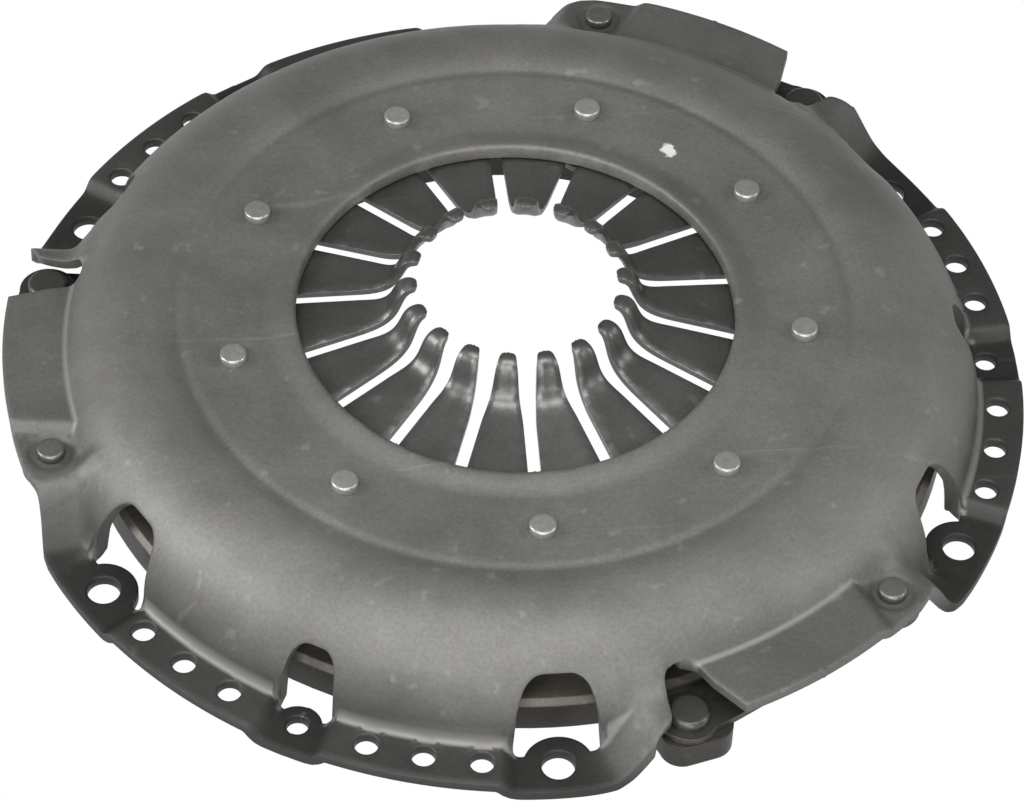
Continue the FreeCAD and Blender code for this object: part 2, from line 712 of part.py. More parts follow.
os.makedirs("parts", exist_ok=True)
write("cover", cover())
write("pressure_plate", pressure_plate())
write("diaphragm_spring", diaphragm_spring())
write("upper_fulcrum_ring", fulcrum_ring(upper_ring_z))
write("lower_fulcrum_ring", fulcrum_ring(lower_ring_z))
write("spacer_rivets", spacer_rivets())
for index in range(stations):
    turn = index * 360.0 / stations
    for number, place in enumerate(("upper", "middle", "lower")):
        write(f"drive_strap_{index + 1}_{place}", turned(drive_strap(number), turn))
    write(f"cover_strap_rivet_{index + 1}", turned(cover_strap_rivet(), turn))
    write(f"plate_strap_rivet_{index + 1}", turned(plate_strap_rivet(), turn))
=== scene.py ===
import math

import bmesh
import bpy
import numpy as np
from mathutils import Matrix, Vector
from mathutils.geometry import delaunay_2d_cdt


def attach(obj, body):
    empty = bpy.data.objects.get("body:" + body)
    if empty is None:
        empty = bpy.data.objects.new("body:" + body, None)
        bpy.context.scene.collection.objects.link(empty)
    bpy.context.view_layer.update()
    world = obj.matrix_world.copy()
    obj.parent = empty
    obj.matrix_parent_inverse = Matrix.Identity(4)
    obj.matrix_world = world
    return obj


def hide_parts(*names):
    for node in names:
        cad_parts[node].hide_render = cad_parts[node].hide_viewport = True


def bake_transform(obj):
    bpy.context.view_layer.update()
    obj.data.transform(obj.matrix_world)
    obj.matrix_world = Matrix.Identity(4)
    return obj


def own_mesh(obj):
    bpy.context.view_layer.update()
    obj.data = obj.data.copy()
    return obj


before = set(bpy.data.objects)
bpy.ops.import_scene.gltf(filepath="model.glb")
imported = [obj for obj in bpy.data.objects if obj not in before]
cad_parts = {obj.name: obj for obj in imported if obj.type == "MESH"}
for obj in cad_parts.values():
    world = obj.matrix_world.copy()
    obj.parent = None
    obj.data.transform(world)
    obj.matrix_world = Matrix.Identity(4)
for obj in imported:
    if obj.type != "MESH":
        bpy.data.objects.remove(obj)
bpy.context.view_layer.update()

# A diaphragm spring clutch cover assembly. Sizes are in millimetres until a mesh is made.
MM = 0.001

# The cover's sheet and dome
SHEET = 3.5
OPENING, LIP_TOP, LIP_ROLL, BEAD_FOOT = 60.8, 36.6, 0.8, 70.0
LAND, GROOVE_R, GROOVE_DEPTH, GROOVE_HALF = 34.8, 93.5, 0.5, 0.4
CREST_R, CREST, SHOULDER, WALL = 100.0, 35.5, 30.7, math.radians(77.0)
WALL_REACH = 30.0
SPACER_R, SPACERS, SPACER_TURN, SPACER_STEP, SPACER_MARK = 80.0, 9, -10.0, 40.0, 0.3

# The flange repeats in thirds. Heights are those of its top face, and angles start at the third's dowel hole.
THIRD, THIRD_START = 120.0, -40.0
PAD, RAISED, PLATFORM, SEAT, HORN = 3.5, 6.75, 22.7, 20.2, 20.6
RAISED_FROM, RAISED_TO = 3.6, 24.4
BOLT_R, BOLT_ANGLE, BOLT_HOLE, DOWEL_HOLE = 135.0, 30.0, 4.5, 3.0
BALANCE_R, BALANCE_HOLE = 136.4, 3.25
BALANCE = [side * angle for angle in (8.5, 15.0, 21.5) for side in (-1, 1)]
FLANGE_R, PLATFORM_INSET = 143.7, 1.7
STRAP_R, COVER_RIVET_ANGLE, LUG_ANGLE = 133.5, 74.0, 45.0

# The lowest that the horn's underside comes over a lug, so that the lifted lug clears it
LUG_ROOM = 17.05

# The windows' sizes: those of the two bolt pads and that of the dowel pad between them
BOLT_WINDOW = {"apex": 121.9, "head": 7.6, "corner": 7.0, "foot": 12.8, "notch": 131.6, "root": 8.7,
               "tongue": 9.4}
DOWEL_WINDOW = {"apex": 123.7, "head": 5.7, "corner": 5.3, "foot": 8.2, "notch": 131.4, "root": 5.6,
                "tongue": 6.6}
NOTCH_CORNER = 1.7

# The meshes: what counts as far and as the same place, how wide and deep a sheet's edge is rounded, the most
# that a sector's side is bowed in, and the angle in degrees that is shaded as sharp
FAR, SAME = 1e9, 1e-3
ROW, EDGE_FALL = 0.45, 0.35
SIDE_BOW = 1.2
SHARP = 50.0

# Rows of points on the cover: the first radius, the last and the step, and on the flange the step in degrees
DOME_ROWS = ((61.0, 70.5, 0.6), (71.5, 91.0, 1.6), (91.2, 96.0, 0.4), (96.5, 118.0, 1.1))
FLANGE_ROWS, FLANGE_STEP = (118.4, 144.0, 0.62), 0.27


def smax(a, b, k):
    """The larger of two heights, with a soft fillet where they cross."""
    return 0.5 * (a + b + np.sqrt((a - b) ** 2 + k * k))


def smin(a, b, k):
    """The smaller of two heights, with a soft round where they cross."""
    return 0.5 * (a + b - np.sqrt((a - b) ** 2 + k * k))


def ease(u):
    """A smooth step from 0 at 0 to 1 at 1."""
    u = np.clip(u, 0.0, 1.0)
    return u * u * (3 - 2 * u)


def fade_in(u, start, width):
    """0 up to start, 1 from start + width on, and smooth between them."""
    return ease((u - start) / width)


def fade_out(u, start, width):
    """1 up to start, 0 from start + width on, and smooth between them."""
    return 1 - fade_in(u, start, width)


# Outlines in the plane
def polar(r, angle):
    return (r * math.cos(math.radians(angle)), r * math.sin(math.radians(angle)))


def arc_points(cx, cy, radius, a0, a1, count):
    return [(cx + radius * math.cos(math.radians(a0 + (a1 - a0) * i / count)),
             cy + radius * math.sin(math.radians(a0 + (a1 - a0) * i / count))) for i in range(count + 1)]


def round_hole(cx, radius, count):
    """A circle round a point of X."""
    return arc_points(cx, 0, radius, 0, 360, count)[:-1]


def turn_points(points, degrees):
    c, s = math.cos(math.radians(degrees)), math.sin(math.radians(degrees))
    return [(x * c - y * s, x * s + y * c) for x, y in points]


def mirrored(points):
    return [(x, -y) for x, y in points]


def round_corners(points, radii, step=0.45):
    """A closed outline whose corners are rounded by the radius given for each."""
    out = []
    n = len(points)
    for i in range(n):
        before, corner, after = (Vector(points[(i + j) % n]) for j in (-1, 0, 1))
        a, b = (before - corner).normalized(), (after - corner).normalized()
        half = a.angle(b) / 2
        cut = radii[i] / math.tan(half) if radii[i] else 0.0
        if not cut:
            out.append(tuple(corner))
            continue
        start, end = corner + a * cut, corner + b * cut
        centre = corner + (a + b).normalized() * (radii[i] / math.sin(half))
        sweep = (start - centre).angle_signed(end - centre)
        steps = max(3, int(abs(sweep) * radii[i] / step))
        for k in range(steps + 1):
            spoke = start - centre
            spoke.rotate(Matrix.Rotation(-sweep * k / steps, 2))
            out.append(tuple(centre + spoke))
    return out


def dense(points, step=0.55):
    """A closed outline with a point at least every step."""
    out = []
    for i, p in enumerate(points):
        q = points[(i + 1) % len(points)]
        length = math.dist(p, q)
        if length < 1e-6:
            continue
        count = max(1, int(math.ceil(length / step)))
        out += [(p[0] + (q[0] - p[0]) * k / count, p[1] + (q[1] - p[1]) * k / count) for k in range(count)]
    return out


def inside(points, loop):
    """Which points lie inside a closed outline."""
    x, y = points[:, 0], points[:, 1]
    odd = np.zeros(len(points), bool)
    for i, (x0, y0) in enumerate(loop):
        x1, y1 = loop[(i + 1) % len(loop)]
        if y0 != y1:
            odd ^= ((y0 > y) != (y1 > y)) & (x < (x1 - x0) * (y - y0) / (y1 - y0) + x0)
    return odd


def offset_loop(loop, distance):
    """The outline moved outwards from a hole, for a row of points along its rim."""
    p = np.array(loop)
    t = np.roll(p, -1, 0) - np.roll(p, 1, 0)
    t /= np.linalg.norm(t, axis=1)[:, None]
    area = 0.5 * np.sum(p[:, 0] * np.roll(p[:, 1], -1) - np.roll(p[:, 0], -1) * p[:, 1])
    side = 1.0 if area > 0 else -1.0
    return p + side * distance * np.stack([t[:, 1], -t[:, 0]], 1)


def distance_to(points, loop, reach=2.0):
    """Each point's distance to the nearest point of an outline, or far where that is out of reach."""
    q = np.array(loop)
    out = np.full(len(points), FAR)
    close = np.all((points > q.min(0) - reach) & (points < q.max(0) + reach), axis=1)
    if close.any():
        gaps = points[close][:, None, :] - q[None, :, :]
        out[close] = np.sqrt((gaps ** 2).sum(2)).min(1)
    return out


# Closed sheets over a patch of the plane
def side_bow(r, first, last):
    """How far a sector's straight side is bowed in, so that no sliver of a triangle can lie along it."""
    u = np.clip((r - first) / (last - first), 0, 1)
    return SIDE_BOW * u * (1 - u)


def bowed(points, half):
    """A sector's outline with its two straight sides bowed in, and the radii where they begin and end."""
    if half == math.pi:
        return [tuple(p) for p in points], FAR, 2 * FAR
    r, angle = np.hypot(points[:, 0], points[:, 1]), np.arctan2(points[:, 1], points[:, 0])
    on_side = np.abs(np.abs(angle) - half) * r < SAME
    first, last = r[on_side].min(), r[on_side].max()
    angle = angle - on_side * np.sign(angle) * side_bow(r, first, last) / r
    return [tuple(p) for p in np.column_stack([r * np.cos(angle), r * np.sin(angle)])], first, last


def off_sides(rim, half):
    """The points of a sector's rim that aren't on its two straight sides."""
    points = np.array(rim)
    return points[np.abs(np.abs(np.arctan2(points[:, 1], points[:, 0])) - half) >= 1e-4]


def flat_patch(grid, ring, loops, row):
    """The points and triangles that fill a ring round its holes, with two rows of points along each hole."""
    ring_gap, hole_gap, row_gap, slack = 0.1, 0.2, 0.3, 0.03
    points = np.array(grid)
    clear = inside(points, ring) & (distance_to(points, ring) > row + ring_gap)
    for loop in loops:
        clear &= ~inside(points, loop) & (distance_to(points, loop) > row + hole_gap)
    border, edges = [], []
    for loop in [ring] + loops:
        start = len(border)
        border += loop
        edges += [(start + i, start + (i + 1) % len(loop)) for i in range(len(loop))]
    for loop in loops:
        for distance in (row * 0.4, row):
            beside = offset_loop(loop, distance)
            good = inside(beside, ring) & (distance_to(beside, ring) > row_gap)
            for other in loops:
                good &= ~inside(beside, other) & (distance_to(beside, other) > distance - slack)
            border += list(beside[good])
    everything = [Vector(p) for p in border + list(points[clear])]
    verts, _, faces, *_ = delaunay_2d_cdt(everything, edges, [], 0, 1e-6)
    flat = np.array([(v[0], v[1]) for v in verts])
    tri = np.array([f for f in faces if len(f) == 3])
    middle = flat[tri].mean(1)
    good = inside(middle, ring)
    for loop in loops:
        good &= ~inside(middle, loop)
    return flat, tri[good]


def straight_seams(flat, half, first, last):
    """Moves the points of the bowed sides onto the sector's straight sides, and says which they are."""
    r, angle = np.hypot(flat[:, 0], flat[:, 1]), np.arctan2(flat[:, 1], flat[:, 0])
    seam = np.abs((half - np.abs(angle)) * r - side_bow(r, first, last)) < SAME
    seam &= (r > first - SAME) & (r < last + SAME)
    side = np.sign(angle[seam])
    flat[seam] = r[seam, None] * np.column_stack([np.full_like(side, math.cos(half)), side * math.sin(half)])
    right, left = (np.flatnonzero(seam & on) for on in (flat[:, 1] < 0, flat[:, 1] > 0))
    return seam, right[np.argsort(r[right])], left[np.argsort(r[left])]


def plate_sheet(name, grid, holes, rim, upper, lower, free, copies=1, row=ROW, fall=EDGE_FALL):
    """A closed sheet over a patch of the plane, repeated round the axis.

    Grid points, holes and a rim make the patch. upper and lower lift it: they take plane points, and how much
    the sheet's edge is rounded off at each. free holds the rim's points where the edge is rounded, as it is
    at the holes.
    """
    loops = [dense(hole) for hole in holes]
    half = math.pi / copies
    ring, first, last = bowed(np.array(rim), half)
    flat, tri = flat_patch(grid, ring, loops, row)
    seam, right, left = straight_seams(flat, half, first, last)
    edge_distance = np.full(len(flat), FAR)
    for loop in loops + [free]:
        edge_distance = np.minimum(edge_distance, distance_to(flat, loop))
    drop = fall * np.clip(1 - edge_distance / row, 0, 1) ** 2
    top, low = upper(flat, drop), lower(flat, drop)
    c, s = math.cos(2 * half), math.sin(2 * half)
    for face in (top, low):
        face[right] = face[left] @ np.array([[c, -s, 0], [s, c, 0], [0, 0, 1]])
    used = np.zeros(len(flat), bool)
    used[tri.ravel()] = True
    tri = (np.cumsum(used) - 1)[tri]
    top, low, seam = top[used], low[used], seam[used]
    n = len(top)
    a, b, c = top[tri[:, 0]], top[tri[:, 1]], top[tri[:, 2]]
    up = ((b - a)[:, 0] * (c - a)[:, 1] - (b - a)[:, 1] * (c - a)[:, 0]) > 0
    tri[~up] = tri[~up][:, ::-1]
    directed = np.concatenate([tri[:, [0, 1]], tri[:, [1, 2]], tri[:, [2, 0]]]).tolist()
    known = {tuple(e) for e in directed}
    walls = [(i, i + n, j + n, j) for i, j in directed if (j, i) not in known and not (seam[i] and seam[j])]
    verts, faces = [], []
    for k in range(copies):
        c, s = math.cos(2 * math.pi * k / copies), math.sin(2 * math.pi * k / copies)
        verts.append(np.concatenate([top, low]) @ np.array([[c, s, 0], [-s, c, 0], [0, 0, 1]]))
        base = 2 * n * k
        faces += (tri + base).tolist()
        faces += (tri[:, ::-1] + n + base).tolist()
        faces += [tuple(i + base for i in wall) for wall in walls]
    return finish_mesh(name, np.concatenate(verts), faces)


def shown(name, mesh):
    """An object for a mesh, shaded smooth but for its sharp bends."""
    mesh.polygons.foreach_set("use_smooth", [True] * len(mesh.polygons))
    mesh.set_sharp_from_angle(angle=math.radians(SHARP))
    obj = bpy.data.objects.new(name, mesh)
    bpy.context.scene.collection.objects.link(obj)
    return obj


def finish_mesh(name, verts, faces):
    """An object from points in mm, with equal points joined and all faces turned outwards."""
    mesh = bpy.data.meshes.new(name)
    mesh.from_pydata([tuple(c * MM for c in v) for v in verts], [], faces)
    bm = bmesh.new()
    bm.from_mesh(mesh)
    bmesh.ops.remove_doubles(bm, verts=bm.verts, dist=2e-6)
    bmesh.ops.recalc_face_normals(bm, faces=bm.faces)
    bm.to_mesh(mesh)
    bm.free()
    return shown(name, mesh)


def joined(name, pieces):
    """Several meshes as one."""
    bm = bmesh.new()
    for piece in pieces:
        bm.from_mesh(piece.data)
        bpy.data.objects.remove(piece)
    mesh = bpy.data.meshes.new(name)
    bm.to_mesh(mesh)
    bm.free()
    return shown(name, mesh)


def lathe(name, section, count, centre=(0.0, 0.0), closed=False):
    """A turned piece from points of radius and height; points on the axis close it."""
    verts, faces, rows = [], [], []
    for r, z in section:
        if r < 1e-6:
            rows.append([len(verts)] * count)
            verts.append((centre[0], centre[1], z))
        else:
            rows.append(list(range(len(verts), len(verts) + count)))
            verts += [(centre[0] + r * math.cos(2 * math.pi * i / count),
                       centre[1] + r * math.sin(2 * math.pi * i / count), z) for i in range(count)]
    pairs = list(zip(rows, rows[1:])) + ([(rows[-1], rows[0])] if closed else [])
    for low, high in pairs:
        for i in range(count):
            j = (i + 1) % count
            face = tuple(dict.fromkeys((low[i], low[j], high[j], high[i])))
            if len(face) > 2:
                faces.append(face)
    return finish_mesh(name, verts, faces)


# The cover's upper face as a height over the plane
def dome_profile():
    """The dome's outside as radius and height, from the lip to below the flange."""
    points = []
    for i in range(9):
        t = math.pi / 2 * i / 8
        points.append((OPENING + LIP_ROLL * (1 - math.cos(t)), LIP_TOP - LIP_ROLL * (1 - math.sin(t))))
    start = OPENING + LIP_ROLL
    for i in range(1, 13):
        u = i / 12
        points.append((start + (BEAD_FOOT - start) * u, LIP_TOP - (LIP_TOP - LAND) * float(ease(u))))
    groove, groove_end, rise = LAND - GROOVE_DEPTH, GROOVE_R + GROOVE_HALF, CREST - LAND + GROOVE_DEPTH
    points += [(GROOVE_R - 2.4, LAND), (GROOVE_R - 1.2, LAND - 0.25), (GROOVE_R - 0.3, groove + 0.03),
               (groove_end, groove)]
    for i in range(1, 9):
        u = i / 8
        points.append((groove_end + (CREST_R - GROOVE_R - GROOVE_HALF) * u,
                       groove + rise * math.sin(u * math.pi / 2)))
    for i in range(1, 25):
        t = WALL * i / 24
        points.append((CREST_R + SHOULDER * math.sin(t), CREST - SHOULDER * (1 - math.cos(t))))
    r, z = points[-1]
    points.append((r + WALL_REACH, z - WALL_REACH * math.tan(WALL)))
    return np.array(points)


DOME = dome_profile()


def dome_height(r):
    return np.interp(r, DOME[:, 0], DOME[:, 1])


def in_third(x, y):
    """Radius and angle within one third of the cover."""
    return np.hypot(x, y), (np.degrees(np.arctan2(y, x)) - THIRD_START) % THIRD + THIRD_START


def near(r, a, radius, angle):
    """Distance in the plane from a point of the third."""
    x, y = r * np.cos(np.radians(a)), r * np.sin(np.radians(a))
    return np.hypot(x - radius * math.cos(math.radians(angle)), y - radius * math.sin(math.radians(angle)))


def along(r, a, station, skew=0.0):
    """Distance along the flange from the line of a step, in mm. A skewed step leans as the radius grows."""
    return np.radians(a - station) * r - (r - BOLT_R) * math.tan(math.radians(skew))


def press(u, rise, slope, bend):
    """A pressed step along u: 0 before it, rise after it, with soft bends. The slope is in degrees."""
    return smax(smin(rise / 2 + u * math.tan(math.radians(slope)), rise, bend), 0.0, bend)


def flange_height(r, a):
    """Height of the flange's top face at an angle within one third."""
    z = np.full_like(r, PAD)
    for station, side in ((-RAISED_TO, 1), (-RAISED_FROM, -1), (RAISED_FROM, 1), (RAISED_TO, -1)):
        z = z + side * press(along(r, a, station), RAISED - PAD, slope=48.0, bend=0.9)
    z = z + press(along(r, a, 38.0, skew=12.0), HORN - PAD, slope=58.0, bend=6.0)
    z = z + press(along(r, a, 45.0), PLATFORM - HORN, slope=50.0, bend=1.0)
    z = z - press(along(r, a, 70.3, skew=-17.0), PLATFORM - SEAT, slope=46.0, bend=0.9)
    for turn in (0.0, -THIRD):
        ramp = 80.5 - 0.11 * (r - 136.0) + turn
        drop = press(np.radians(a - ramp) * r, SEAT - PAD, slope=62.0, bend=4.2)
        z = z - drop if turn == 0.0 else z + (SEAT - PAD - drop) * (a < 0)
    return z


def pressed_flat(z, level, distance, radius, width):
    """Heights pressed down to a level within a radius of a hole."""
    return z + (np.minimum(z, level) - z) * fade_out(distance, radius, width)


def cover_height(x, y):
    """Height of the cover's upper surface over a point of the plane, in mm."""
    r, a = in_third(x, y)
    flange = flange_height(r, a)
    dome = dome_height(r)
    # The dome is taken away behind each low pad and on the pad's tongue
    for angle, width, window in ((-BOLT_ANGLE, 9.2, BOLT_WINDOW), (0.0, 6.2, DOWEL_WINDOW),
                                 (BOLT_ANGLE, 9.2, BOLT_WINDOW)):
        across = np.abs(r * np.sin(np.radians(a - angle)))
        behind = fade_out(across, width, 3.4) * fade_in(r, 129.2, 1.6)
        on_tongue = fade_out(near(r, a, BOLT_R, angle) - window["tongue"], 0.05, 0.4)
        dome = dome - WALL_REACH * np.maximum(behind, on_tongue)
    # Its foot is bent softly, and widest where it runs into the horn and the ramps
    gusset = fade_in(a, 34.5, 3.0) * fade_out(a, 43.0, 1.5) + fade_in(a, 75.5, 2.5)
    gusset = (gusset + fade_out(a, -36.0, 2.0)) * fade_in(r, 119.0, 6.0)
    z = smax(dome, flange, 1.9 - 0.9 * fade_in(flange, 12.0, 6.0) + 5.0 * gusset)
    # Round each balance hole and strap rivet the sheet is flat, and round each spacer rivet it is marked
    for angle in BALANCE:
        z = pressed_flat(z, RAISED, near(r, a, BALANCE_R, angle), 4.6, 0.7)
    z = pressed_flat(z, SEAT - 0.4, near(r, a, STRAP_R, COVER_RIVET_ANGLE), 5.2, 1.8)
    for k in range(3):
        z = z - SPACER_MARK * fade_out(near(r, a, SPACER_R, SPACER_TURN + SPACER_STEP * k), 4.9, 0.7)
    return z


# The cover's outlines
def outline_radius(a):
    """The cover's outer edge: cut in at the foot of the seat's ramp, and along the platform."""
    a = (a + 60.0) % THIRD + 60.0
    turns = [60.0, 74.9, 76.8, 77.7, 78.3, 79.3, 80.6, 82.0, 83.5, 156.0, 160.0, 180.0]
    insets = [PLATFORM_INSET, 1.8, 2.6, 3.4, 3.3, 2.8, 1.7, 0.5, 0.0, 0.0]
    insets += [PLATFORM_INSET, PLATFORM_INSET]
    return FLANGE_R - np.interp(a, turns, insets)


def window_outline(apex, head, corner, foot, notch, root, tongue):
    """A window from above, on X: an arch towards the axis, and a notch on each side of the round tongue.

    apex and notch are radii from the axis. head, foot and root are half widths: at the arch, at the foot and
    where the tongue begins. corner and tongue are the radii of the arch's corners and of the tongue.
    """
    side = math.degrees(math.asin(root / tongue))
    tongue_points = arc_points(BOLT_R, 0.0, tongue, 180 + side, 180 - side, 24)
    points = [(apex, head), (apex, -head), (notch, -foot)] + tongue_points + [(notch, foot)]
    corners = [corner, corner, NOTCH_CORNER] + [0.0] * len(tongue_points) + [NOTCH_CORNER]
    return round_corners(points, corners)


def strap_outline():
    """The open window over a lug, from the horn's free edge to the platform's end, in the plane."""
    corners = [(150.0, 39.6, 0.0), (141.6, 40.0, 1.6), (137.3, 42.4, 3.0), (130.6, 42.7, 4.0),
               (123.4, 43.1, 4.6), (123.6, 47.3, 4.8), (131.5, 48.3, 8.0), (143.0, 50.3, 0.0),
               (150.0, 50.8, 0.0)]
    return round_corners([polar(r, angle) for r, angle, _ in corners], [radius for _, _, radius in corners])


def cover_holes():
    """The outlines of the windows and round holes of one third."""
    holes = []
    for angle in (-BOLT_ANGLE, BOLT_ANGLE):
        holes.append(turn_points(window_outline(**BOLT_WINDOW), angle))
        holes.append(turn_points(round_hole(BOLT_R, BOLT_HOLE, 56), angle))
    holes.append(window_outline(**DOWEL_WINDOW))
    holes.append(round_hole(BOLT_R, DOWEL_HOLE, 40))
    return holes + [turn_points(round_hole(BALANCE_R, BALANCE_HOLE, 44), angle) for angle in BALANCE]


def cover_grid(half):
    """Points that fill one third of the cover: even gaps on the dome, and fine ones on the flange."""
    grid = []
    for r in np.concatenate([np.arange(*rows) for rows in DOME_ROWS]):
        count = int(half * 2 * math.pi / 180 * r / 1.6)
        grid += [polar(r, angle) for angle in np.linspace(-half, half, count + 1)[1:-1]]
    for r in np.arange(*FLANGE_ROWS):
        grid += [polar(r, angle) for angle in np.arange(-half + 0.3, half, FLANGE_STEP)]
    return grid


def cover_rim(half):
    """The rim of one third: opening, straight side, outer edge with the strap window, and the other side."""
    side_radii = np.concatenate([np.arange(61.0, 118.0, 1.1), np.arange(118.4, 141.6, 0.62)])
    turns = np.arange(-half, half + 1e-9, FLANGE_STEP)
    turns[-1] = half
    outer = [polar(outline_radius(angle), angle) for angle in turns]
    window = strap_outline()
    cut = inside(np.array(outer), window)
    first, last = int(np.argmax(cut)), len(cut) - int(np.argmax(cut[::-1]))
    within = [p for p in dense(window)
              if math.hypot(*p) < outline_radius(math.degrees(math.atan2(p[1], p[0]))) - 0.05]
    rim = [polar(OPENING, angle) for angle in np.linspace(half, -half, 90)]
    rim += [polar(r, -half) for r in side_radii]
    rim += outer[:first] + within + outer[last:]
    return rim + [polar(r, half) for r in reversed(side_radii)]


def cover_upper(flat, drop):
    return np.column_stack([flat, cover_height(flat[:, 0], flat[:, 1]) - drop])


def cover_lower(flat, drop):
    """The underside: everywhere a sheet's thickness from the upper face, with cuts square to the sheet."""
    x, y = flat[:, 0], flat[:, 1]
    step = 1.2
    gx = (cover_height(x + step, y) - cover_height(x - step, y)) / (2 * step)
    gy = (cover_height(x, y + step) - cover_height(x, y - step)) / (2 * step)
    steep = np.sqrt(1 + gx ** 2 + gy ** 2)
    r, a = in_third(x, y)
    # On the dome's slope each point moves sideways, so that the cuts there stand square to the sheet
    lean = SHEET * 0.85 * fade_out(r, 127.5, 4.0) * fade_in(r, 66.0, 8.0)
    lean = lean * fade_in(cover_height(x, y) - flange_height(r, a), 1.5, 2.0)
    x, y = x + lean * gx / steep, y + lean * gy / steep
    low = cover_height(x, y) - SHEET
    # A ball as large as the sheet is thick has to fit under the upper face: circles on the ball are tried
    for reach, count, stagger in ((1.2, 8, 0.0), (2.3, 12, 0.5), (3.1, 16, 0.0), (3.45, 16, 0.0)):
        sink = math.sqrt(SHEET ** 2 - reach ** 2)
        for i in range(count):
            t = 2 * math.pi * (i + stagger) / count
            low = np.minimum(low, cover_height(x + reach * math.cos(t), y + reach * math.sin(t)) - sink)
    over_lug = fade_in(a, 40.0, 0.6) * fade_out(a, 48.0, 0.6) * fade_in(r, 126.5, 1.0)
    low = low + over_lug * (np.maximum(low, LUG_ROOM) - low)
    return np.column_stack([x, y, np.maximum(low, 0.0) + drop])


def mark_bend_highlight(shell):
    """Writes an attribute for the material: how bright the painted highlight on the bends at the dome's foot
    is.
    """
    places = np.empty(3 * len(shell.data.vertices))
    shell.data.vertices.foreach_get("co", places)
    x, y, z = places.reshape(-1, 3).T / MM
    step = 0.9
    level = cover_height(x, y)
    around = cover_height(x + step, y) + cover_height(x - step, y)
    around = around + cover_height(x, y + step) + cover_height(x, y - step)
    bend = (around - 4 * level) / step ** 2
    r, a = in_third(x, y)
    painted_highlight = fade_in(bend, 0.15, 0.5) * (np.abs(z - level) < 0.6) * fade_in(r, 112.0, 4.0)
    painted_highlight = painted_highlight * fade_in(near(r, a, STRAP_R, COVER_RIVET_ANGLE), 8.0, 3.0)
    painted_highlight = painted_highlight * fade_out(np.abs(dome_height(r) - flange_height(r, a)), 3.0, 5.0)
    painted_highlight = painted_highlight * fade_out(a, 75.0, 2.5) * fade_in(a, -37.0, 3.0)
    shell.data.attributes.new("painted_highlight", "FLOAT", "POINT").data.foreach_set("value", painted_highlight)


def make_cover():
    half = THIRD / 2
    rim = cover_rim(half)
    free = off_sides(rim, math.radians(half))
    free = free[np.hypot(free[:, 0], free[:, 1]) > CREST_R]
    shell = plate_sheet("cover_shell", cover_grid(half), cover_holes(), rim, cover_upper, cover_lower, free,
                        copies=3)
    mark_bend_highlight(shell)
    return shell


# The diaphragm spring
SPRING_R, FINGERS, TIP_R, THICK = 112.0, 18, 27.5, 2.7
CONE = math.tan(math.radians(11.3))
RING_R, RING_TOP = 86.4, 26.65
KEYHOLE_R, KEYHOLE = 80.0, 5.0
SLOT_HALF, SLOT_GROWTH, SLOT_TAPER = 1.8, 1.05, 15.0
BEND_R = 44.0
SPRING_ROWS = ((27.9, BEND_R, 0.45), (44.6, 90.0, 1.3), (91.0, 111.5, 2.5))


def spring_profile():
    """The spring's upper face as radius and height, its normals, and the lower face's point under each."""
    cone = [(r, RING_TOP + (RING_R - r) * CONE)
            for r in (SPRING_R, 104.0, 96.0, 88.0, 80.0, 72.0, 64.0, 56.0, 50.0, 46.0, 43.0)]
    bend = [(41.0, 35.78), (39.6, 36.15), (38.3, 36.62), (37.2, 37.25), (36.2, 38.1), (35.4, 39.2),
            (34.8, 40.5), (34.3, 41.9), (33.8, 43.3), (33.3, 44.5), (32.7, 45.6), (31.9, 46.5), (31.0, 47.1),
            (30.0, 47.42), (29.0, 47.5), (28.2, 47.35), (TIP_R, 47.1)]
    p = np.array(cone + bend)
    s = np.concatenate([[0.0], np.cumsum(np.hypot(*np.diff(p, axis=0).T))])
    t = np.linspace(0.0, s[-1], 400)
    p = np.column_stack([np.interp(t, s, p[:, 0]), np.interp(t, s, p[:, 1])])
    for _ in range(60):
        p[1:-1] = (p[:-2] + 2 * p[1:-1] + p[2:]) / 4
    d = np.gradient(p, axis=0)
    d /= np.linalg.norm(d, axis=1)[:, None]
    normal = np.column_stack([d[:, 1], -d[:, 0]])
    low = p - THICK * normal
    low[:, 0] = np.maximum(np.minimum.accumulate(low[:, 0]), TIP_R - 0.2)
    return p[::-1], normal[::-1], low[::-1]


SPRING, SPRING_NORMAL, SPRING_LOW = spring_profile()


def spring_face(flat, drop, table, side):
    """One face of the spring over points of the plane: side is 1 for the lower face and -1 for the upper."""
    r = np.hypot(flat[:, 0], flat[:, 1])
    turn = flat / r[:, None]
    rr, zz, nr, nz = (np.interp(r, SPRING[:, 0], column) for column in (*table.T, *SPRING_NORMAL.T))
    rr, zz = rr + side * drop * nr, zz + side * drop * nz
    return np.column_stack([turn * rr[:, None], zz])


def spring_upper(flat, drop):
    return spring_face(flat, drop, SPRING, -1.0)


def spring_lower(flat, drop):
    return spring_face(flat, drop, SPRING_LOW, 1.0)


